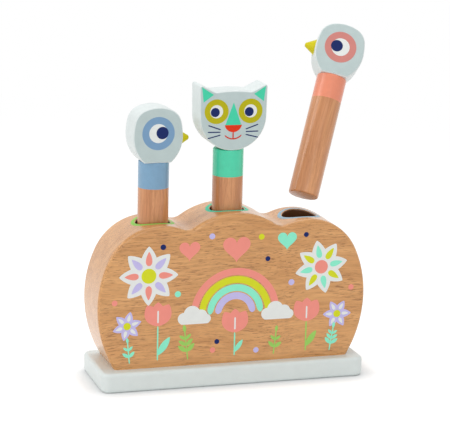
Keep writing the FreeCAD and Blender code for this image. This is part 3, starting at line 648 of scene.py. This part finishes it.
dress("base_board", painted_wood("white_base_paint", BASE_WHITE, depth=0.965, roughness=0.45,
                                 coat=0.5))
wells = [(float(middle_of(side + "_plunger")[0]), WELL_RADIUS + BORE_CLEARANCE)
         for side in ("left", "middle", "right")]
dress("body_block", lacquered_wood("block_wood", ALONG_X, wells))
dress("base_screws", bright_metal("zinc_screw", ZINC, roughness=0.28))
turned_wood = lacquered_wood("turned_wood", ALONG_Z)
dress("spring_seats", turned_wood)
spring_wire = bright_metal("spring_wire", SPRING_STEEL, roughness=0.22)
beak_paint = painted_wood("beak_paint", BEAK_YELLOW)
for side in ("left", "middle", "right"):
    dress(side + "_spring", spring_wire)
    dress(side + "_plunger", turned_wood)
    dress(side + "_neck_pin", turned_wood)
    axis = peg_axes[side]
    band, paint = BANDS[side]
    level = float(peg_tops[side] @ axis) - band
    grain_turn = Vector(axis).rotation_difference(Vector((1, 0, 0))).to_euler()
    dress(side + "_dowel", peg_finish(side + "_peg_finish", axis, level, paint, grain_turn))
for side, node in (("left", "left_bird_head"), ("middle", "cat_head"), ("right", "right_bird_head")):
    facing = head_turns[side] @ np.array([0, -1, 0])
    dress(node, head_paint(node + "_paint", facing))
dress("left_beak", beak_paint)
dress("right_beak", beak_paint)


# Faces

def paint_for(name, colour):
    """The flat satin paint of the faces, rings and print."""
    return painted_wood(name, colour, depth=0.96, roughness=0.5, coat=0.05)


navy_paint = paint_for("navy_paint", NAVY)
eye_white_paint = paint_for("eye_white_paint", CREAM_WHITE)
mint_paint = paint_for("mint_paint", MINT)
olive_paint = paint_for("olive_ring_paint", RING_OLIVE)
nose_paint = paint_for("nose_paint", NOSE_RED)
mouth_paint = paint_for("mouth_paint", MOUTH_RED)

BIRD_EYE_HEIGHT = 20.7 * MM
BIRD_RING = 11.5 * MM
BIRD_WHITE = 6.6 * MM
BIRD_PUPIL = 4.3 * MM
BIRD_GLANCE = 2.8 * MM
BIRD_GLANCE_UP = 0.3 * MM


def bird_face(side, look, ring_colour):
    """One large eye: a broad ring, a white disc and a pupil that looks towards the beak."""
    body = side + "_peg"
    place = on_head(side)
    eye = (0, BIRD_EYE_HEIGHT)
    ring_paint = paint_for(side + "_eye_ring_paint", ring_colour)
    printed(side + "_eye_ring", [disc(eye, BIRD_RING)], place, ring_paint, body)
    printed(side + "_eye_white", [disc(eye, BIRD_WHITE, 1)], place, eye_white_paint, body)
    pupil = (look * BIRD_GLANCE, BIRD_EYE_HEIGHT + BIRD_GLANCE_UP)
    printed(side + "_pupil", [disc(pupil, BIRD_PUPIL, 2)], place, navy_paint, body)


CAT_EYE = np.array([12.2, 27.6]) * MM
CAT_RING = 8.6 * MM
CAT_WHITE = 4.6 * MM
CAT_PUPIL = 3.2 * MM
CAT_GLANCE = np.array([-1.0, -0.5]) * MM
BRIDGE_TOP = 33.8 * MM
BRIDGE_HALF_WIDTH = 5.7 * MM
NOSE_TOP = 18 * MM
NOSE_HALF_WIDTH = 6.1 * MM
NOSE_DEPTH = 5 * MM
NOSE_FULLNESS = 0.6
INNER_EAR = np.array([[22.9, 44.8], [21.6, 34.2], [14.4, 39.4]]) * MM
SMILE_RADIUS = 8.2 * MM
SMILE_HALF_WIDTH = 6 * MM
SMILE_LOW = 8.3 * MM
LIP_LINE = (13.2 * MM, 8.2 * MM)
MOUTH_LINE_WIDTH = 0.9 * MM
WHISKER_WIDTH = 0.8 * MM
WHISKERS = np.array([[[8.9, 14.9], [18, 18.1]],
                     [[9, 13.2], [18.3, 13.3]],
                     [[9, 11.2], [18.2, 8.9]]]) * MM
BOTH_WAYS = (np.array([1, 1]), np.array([-1, 1]))


def cat_eyes(place, body, slot):
    """Broad rings, white discs and pupils that look the same way."""
    eyes = [way * CAT_EYE for way in BOTH_WAYS]
    printed("cat_eye_rings", [disc(eye, CAT_RING) for eye in eyes], place, olive_paint, body)
    printed("cat_eye_whites", [disc(eye, CAT_WHITE, 1) for eye in eyes], place, eye_white_paint,
            body)
    printed("cat_pupils", [disc(eye + CAT_GLANCE, CAT_PUPIL, 2) for eye in eyes], place, navy_paint,
            body)


def cat_nose(place, body, slot):
    """A long bridge with the inner ears, and under it a nose that hangs as a flattened arch."""
    bridge = [triangle((0, BRIDGE_TOP), (-BRIDGE_HALF_WIDTH, NOSE_TOP),
                       (BRIDGE_HALF_WIDTH, NOSE_TOP))]
    bridge += [triangle(*(way * INNER_EAR)) for way in BOTH_WAYS]
    printed("cat_bridge_and_ears", bridge, place, mint_paint, body)
    share = np.linspace(-1, 1, STEPS)
    across = share * NOSE_HALF_WIDTH
    drop = NOSE_DEPTH * np.maximum(1 - share ** 2, FLATTEST) ** NOSE_FULLNESS
    nose = slab(np.column_stack([across, np.full(STEPS, NOSE_TOP)]),
                np.column_stack([across, NOSE_TOP - drop]), 1)
    printed("cat_nose", [nose], place, nose_paint, body)


def cat_mouth(place, body, slot):
    """A line from the nose down to a smile, and three whiskers on each side."""
    span = math.asin(SMILE_HALF_WIDTH / SMILE_RADIUS)
    smile = bowed((0, SMILE_LOW + SMILE_RADIUS), SMILE_RADIUS, MOUTH_LINE_WIDTH,
                  -math.pi / 2 - span, -math.pi / 2 + span)
    lip_line = stroke((0, LIP_LINE[0]), (0, LIP_LINE[1]), MOUTH_LINE_WIDTH)
    printed("cat_smile", [smile, lip_line], place, mouth_paint, body)
    whiskers = [stroke(*(way * whisker), WHISKER_WIDTH) for way in BOTH_WAYS for whisker in WHISKERS]
    printed("cat_whiskers", whiskers, place, navy_paint, body)


def cat_face():
    """Eyes, nose and mouth on the cat's head."""
    for part in (cat_eyes, cat_nose, cat_mouth):
        part(on_head("middle"), "middle_peg", "head_paint")


bird_face("left", 1, EYE_BLUE)
bird_face("right", -1, EYE_PINK)
cat_face()


# Painted rings round the wells

RING_INNER = WELL_RADIUS + 0.85 * MM
RING_OUTER = WELL_RADIUS + 3.3 * MM
SHOULDER_RADIUS = 40 * MM
CROWN_RADIUS = 50 * MM


def ring_round_well(side, colour, lobe_radius):
    """A thin ring on the lobe's curved top: its height is that of the lobe's circle at each X.

    Four loops, inner and outer, proud and sunk, are joined in turn by strips of quads.
    """
    centre = middle_of(side + "_plunger")[:2]
    lobe_top = high("body_block")[2] if side == "middle" else SHOULDER_TOP
    angle = np.linspace(0, 2 * math.pi, RING_STEPS, endpoint=False)
    loops = []
    for radius, height in ((RING_INNER, PRINT_PROUD), (RING_OUTER, PRINT_PROUD),
                           (RING_OUTER, -PRINT_SUNK), (RING_INNER, -PRINT_SUNK)):
        x = radius * np.cos(angle)
        y = radius * np.sin(angle)
        top = lobe_top - lobe_radius + np.sqrt(lobe_radius ** 2 - x ** 2)
        loops.append(np.column_stack([centre[0] + x, centre[1] + y, top + height]))
    points = np.concatenate(loops)
    here = np.arange(RING_STEPS)
    after = (here + 1) % RING_STEPS
    strips = []
    for near, far in ((0, 1), (1, 2), (2, 3), (3, 0)):
        strips.append(np.column_stack([here + near * RING_STEPS, after + near * RING_STEPS,
                                       after + far * RING_STEPS, here + far * RING_STEPS]))
    faces = np.concatenate(strips)
    material = paint_for(side + "_mouth_paint", colour)
    piece(side + "_mouth_ring", points, outward(points, faces), material, "block")


ring_round_well("left", MOUTH_LIME, SHOULDER_RADIUS)
ring_round_well("middle", MINT, CROWN_RADIUS)
ring_round_well("right", MOUTH_BLUE, SHOULDER_RADIUS)


# Print on the block's front: a garden of plain motifs

prints = {"coral": [], "mint": [], "lilac": [], "lime": [], "leaf": [], "white": [], "navy": []}


def at(x, z):
    """A place on the block's front, given in millimetres."""
    return np.array([x, z]) * MM


PETAL_FOOT, PETAL_LENGTH, PETAL_WIDTH = 0.2, 0.8, 0.56
DROP_FOOT, DROP_LENGTH, DROP_WIDTH = 0.34, 0.48, 0.22
DAISY_HEART = 0.25
DAISY_BLUNT = 0.8


def daisy(x, z, radius, petals, colour, drops, heart_colour, first=0.0):
    """Petals round a disc, every one the same, spread evenly, each with a small drop on it."""
    size = radius * MM
    for k in range(petals):
        angle = first + 2 * math.pi * k / petals
        way = np.array([math.cos(angle), math.sin(angle)])
        prints[colour].append(petal(at(x, z) + PETAL_FOOT * size * way, PETAL_LENGTH * size,
                                    PETAL_WIDTH * size, angle, 0, DAISY_BLUNT))
        drop = drops[k % len(drops)]
        prints[drop].append(petal(at(x, z) + DROP_FOOT * size * way, DROP_LENGTH * size,
                                  DROP_WIDTH * size, angle, 1, DAISY_BLUNT))
    prints[heart_colour].append(disc(at(x, z), DAISY_HEART * size, 2))


STEM_WIDTH = 0.9 * MM
FIRST_LEAF, LEAVES_SPAN = 0.28, 0.6
LEAF_LENGTH, LEAF_SHRINK, LEAF_WIDTH = 0.36, 0.16, 0.42
LEAF_TURN = 0.85
TIP_FOOT, TIP_LENGTH, TIP_WIDTH = 0.92, 0.26, 0.12


def sprig(x, z, height, pairs, colour, lean=0.0):
    """A stem with pairs of leaves that shrink towards its tip."""
    heading = math.pi / 2 + lean
    reach = np.array([math.cos(heading), math.sin(heading)]) * height * MM
    foot = at(x, z)
    prints[colour].append(stroke(foot, foot + reach, STEM_WIDTH))
    for k in range(pairs):
        node = foot + reach * (FIRST_LEAF + LEAVES_SPAN * k / pairs)
        length = height * MM * (LEAF_LENGTH - LEAF_SHRINK * k / pairs)
        for side in (1, -1):
            prints[colour].append(petal(node, length, length * LEAF_WIDTH,
                                        heading - side * LEAF_TURN))
    prints[colour].append(petal(foot + reach * TIP_FOOT, height * TIP_LENGTH * MM,
                                height * TIP_WIDTH * MM, heading))


TULIP_STEM = 1.0 * MM
TULIP_LEAF_FOOT, TULIP_LEAF_LENGTH, TULIP_LEAF_WIDTH = 0.15, 0.62, 0.2
TULIP_LEAF_TURN = 0.6
CUP_LENGTH = 17 * MM
CUP_WIDTH = 11 * MM
CUP_TURN = 0.48
VEIN = (2, 11)
VEIN_WIDTH = 1.1 * MM


def tulip(x, z, height, colour, stem_colour):
    """A cup of three petals on a stem with one leaf."""
    foot = at(x, z)
    head = foot + at(0, height)
    prints[stem_colour].append(stroke(foot, head, TULIP_STEM))
    prints[stem_colour].append(petal(foot + at(0, TULIP_LEAF_FOOT * height),
                                     TULIP_LEAF_LENGTH * height * MM,
                                     TULIP_LEAF_WIDTH * height * MM,
                                     math.pi / 2 - TULIP_LEAF_TURN))
    for turn in (CUP_TURN, 0, -CUP_TURN):
        prints[colour].append(petal(head, CUP_LENGTH, CUP_WIDTH, math.pi / 2 + turn, 1))
    prints["white"].append(stroke(head + at(0, VEIN[0]), head + at(0, VEIN[1]), VEIN_WIDTH, 3))


CLOUD_DISCS = ((-0.3, 0.0, 0.17), (-0.06, 0.12, 0.24), (0.2, 0.05, 0.19), (0.36, -0.03, 0.13))
CLOUD_BAR = (-0.42, 0.46, -0.07)
CLOUD_BAR_HEIGHT = 0.2
RAINBOW_GAP = 0.8


def cloud(x, z, width, colour):
    """Four overlapping discs on a flat bar, all of them shares of the cloud's width."""
    for across, up, radius in CLOUD_DISCS:
        prints[colour].append(disc(at(x + across * width, z + up * width), radius * width * MM))
    left, right, level = CLOUD_BAR
    prints[colour].append(stroke(at(x + left * width, z + level * width),
                                 at(x + right * width, z + level * width),
                                 CLOUD_BAR_HEIGHT * width * MM))


def rainbow(x, z, radius, width, colours):
    """Half rings inside each other."""
    for k, colour in enumerate(colours):
        prints[colour].append(bowed(at(x, z), (radius - k * (width + RAINBOW_GAP)) * MM,
                                    width * MM, 0, math.pi))


rainbow(1, 50, 30, 5, ("coral", "lime", "mint", "lilac"))
cloud(-29, 48, 25, "white")
cloud(32, 48, 25, "white")
daisy(-62, 80, 21, 8, "white", ("coral", "lilac"), "lime")
daisy(64, 80, 19.5, 8, "white", ("mint", "lime"), "coral", 0.2)
daisy(-77, 45, 10.5, 6, "lilac", ("white",), "lime", 0.3)
daisy(77, 45, 10.5, 6, "lilac", ("white",), "lime")
tulip(-55, 19, 25, "coral", "mint")
tulip(54, 19, 22, "coral", "leaf")
tulip(1, 19, 17, "coral", "mint")
sprig(-33, 18, 22, 3, "leaf", 0.12)
sprig(72, 18, 18, 3, "mint", -0.15)
sprig(-75, 18, 16, 2, "mint", 0.1)
sprig(30, 18, 18, 2, "leaf", -0.1)
prints["coral"].extend(heart(at(-33, 97), 15 * MM))
prints["mint"].extend(heart(at(38, 101), 14 * MM))
prints["coral"].extend(heart(at(1, 97), 20 * MM))
DOTS = ((-41, 66, 2.2, "mint"), (-86, 62, 2, "coral"), (-17, 106, 2.1, "lilac"),
        (19, 104, 2.1, "lime"), (42, 70, 2.2, "lilac"), (87, 64, 2, "coral"),
        (-15, 24, 2, "coral"), (17, 22, 2, "lilac"), (-52, 100, 2, "navy"),
        (52, 104, 1.8, "navy"), (24, 88, 1.8, "navy"), (-12, 30, 1.8, "navy"))
for x, z, radius, colour in DOTS:
    prints[colour].append(disc(at(x, z), radius * MM))

PRINT_COLOURS = {"coral": CORAL, "mint": PALE_MINT, "lilac": LILAC, "lime": LIME,
                 "leaf": LEAF_GREEN, "white": CREAM_WHITE, "navy": NAVY}
for colour, plates in prints.items():
    print_paint = paint_for("print_" + colour, PRINT_COLOURS[colour])
    printed("print_" + colour, plates, on_block, print_paint, "block")


# Floor, lamps and world

FLOOR_HALF = 6.0
FLOOR_GREY = (0.86, 0.86, 0.86, 1)
WHITE = (1, 1, 1, 1)
FLOOR_LIFT = 0.36
# How far out and how deeply the painted contact shadow dims the floor's glow near the base
CONTACT_SHADOW_REACH = 14 * MM
CONTACT_SHADOW_DEPTH = 3
WHITE_FROM = 0.35
WHITE_AT = 1.2
WORLD_LIGHT = 0.56


def seen_directly(tree):
    """1 for rays from the camera, in a reflection or through glass, and 0 for light."""
    path = tree.nodes.new("ShaderNodeLightPath")
    total = path.outputs["Is Camera Ray"]
    for name in ("Is Glossy Ray", "Is Transmission Ray"):
        either = tree.nodes.new("ShaderNodeMath")
        either.operation = "MAXIMUM"
        tree.links.new(total, either.inputs[0])
        tree.links.new(path.outputs[name], either.inputs[1])
        total = either.outputs[0]
    return total


def blend(tree, share, first, second):
    """One shader that goes over into another as the share goes from 0 to 1."""
    mixed = tree.nodes.new("ShaderNodeMixShader")
    tree.links.new(share, mixed.inputs[0])
    tree.links.new(first, mixed.inputs[1])
    tree.links.new(second, mixed.inputs[2])
    return mixed.outputs[0]


def lift_with_painted_contact_shadow(tree):
    """The floor's own glow, weaker in the corner where the base stands on it: ambient occlusion dims
    it there as a painted contact shadow.
    """
    painted_contact_occlusion = tree.nodes.new("ShaderNodeAmbientOcclusion")
    painted_contact_occlusion.inputs["Distance"].default_value = CONTACT_SHADOW_REACH
    deeper = tree.nodes.new("ShaderNodeMath")
    deeper.operation = "POWER"
    deeper.inputs[1].default_value = CONTACT_SHADOW_DEPTH
    tree.links.new(painted_contact_occlusion.outputs["AO"], deeper.inputs[0])
    lift = tree.nodes.new("ShaderNodeMath")
    lift.operation = "MULTIPLY"
    lift.inputs[1].default_value = FLOOR_LIFT
    tree.links.new(deeper.outputs[0], lift.inputs[0])
    return lift.outputs[0]


def distance_fade(tree):
    """0 near the toy and 1 far from it."""
    where = tree.nodes.new("ShaderNodeTexCoord")
    far = tree.nodes.new("ShaderNodeVectorMath")
    far.operation = "LENGTH"
    tree.links.new(where.outputs["Object"], far.inputs[0])
    fade = tree.nodes.new("ShaderNodeMapRange")
    fade.interpolation_type = "SMOOTHSTEP"
    fade.inputs["From Min"].default_value = WHITE_FROM
    fade.inputs["From Max"].default_value = WHITE_AT
    tree.links.new(far.outputs["Value"], fade.inputs["Value"])
    return fade.outputs["Result"]


def floor_finish():
    """Matte grey with a glow that lifts it to near white for the camera, and white far away; near
    the base the glow dims as a painted contact shadow.
    """
    material = bpy.data.materials.new("pale_floor")
    material.use_nodes = True
    tree = material.node_tree
    tree.nodes.clear()
    matte = tree.nodes.new("ShaderNodeBsdfDiffuse")
    matte.inputs["Color"].default_value = FLOOR_GREY
    glow = tree.nodes.new("ShaderNodeEmission")
    glow.inputs["Color"].default_value = WHITE
    tree.links.new(lift_with_painted_contact_shadow(tree), glow.inputs["Strength"])
    both = tree.nodes.new("ShaderNodeAddShader")
    tree.links.new(matte.outputs[0], both.inputs[0])
    tree.links.new(glow.outputs[0], both.inputs[1])
    white = tree.nodes.new("ShaderNodeEmission")
    white.inputs["Color"].default_value = WHITE
    white.inputs["Strength"].default_value = 1
    pale = blend(tree, distance_fade(tree), both.outputs[0], white.outputs[0])
    output = tree.nodes.new("ShaderNodeOutputMaterial")
    tree.links.new(blend(tree, seen_directly(tree), matte.outputs[0], pale),
                   output.inputs["Surface"])
    return material


def add_floor():
    """A wide pale floor that keeps the toy's shadow and looks near white to the camera."""
    corners = [(x * FLOOR_HALF, y * FLOOR_HALF, 0) for x, y in ((-1, -1), (1, -1), (1, 1), (-1, 1))]
    mesh = bpy.data.meshes.new("floor")
    mesh.from_pydata(corners, [], [(0, 1, 2, 3)])
    mesh.materials.append(floor_finish())
    floor = bpy.data.objects.new("floor", mesh)
    bpy.context.collection.objects.link(floor)


def add_world():
    """White behind the toy, and a softer even light on it."""
    world = bpy.data.worlds.new("studio")
    world.use_nodes = True
    tree = world.node_tree
    tree.nodes.clear()
    skies = []
    for strength in (WORLD_LIGHT, 1):
        sky = tree.nodes.new("ShaderNodeBackground")
        sky.inputs["Color"].default_value = WHITE
        sky.inputs["Strength"].default_value = strength
        skies.append(sky.outputs[0])
    output = tree.nodes.new("ShaderNodeOutputWorld")
    tree.links.new(blend(tree, seen_directly(tree), *skies), output.inputs["Surface"])
    bpy.context.scene.world = world


LAMP_AIM = (0, 0, 0.11)
LAMPS = (("left_lamp", (-1.1, 0.1, 0.75), 3.6, 0.7),
         ("top_lamp", (0.15, 0.25, 1.4), 5.5, 0.9),
         ("front_lamp", (-0.2, -1.5, 0.7), 4.6, 1.0))


def add_lamp(name, place, power, width):
    """A square soft lamp that looks at the toy."""
    data = bpy.data.lights.new(name, "AREA")
    data.energy = power
    data.size = width
    lamp = bpy.data.objects.new(name, data)
    lamp.location = place
    lamp.rotation_euler = (Vector(LAMP_AIM) - Vector(place)).to_track_quat("-Z", "Y").to_euler()
    bpy.context.collection.objects.link(lamp)


add_floor()
add_world()
for lamp in LAMPS:
    add_lamp(*lamp)
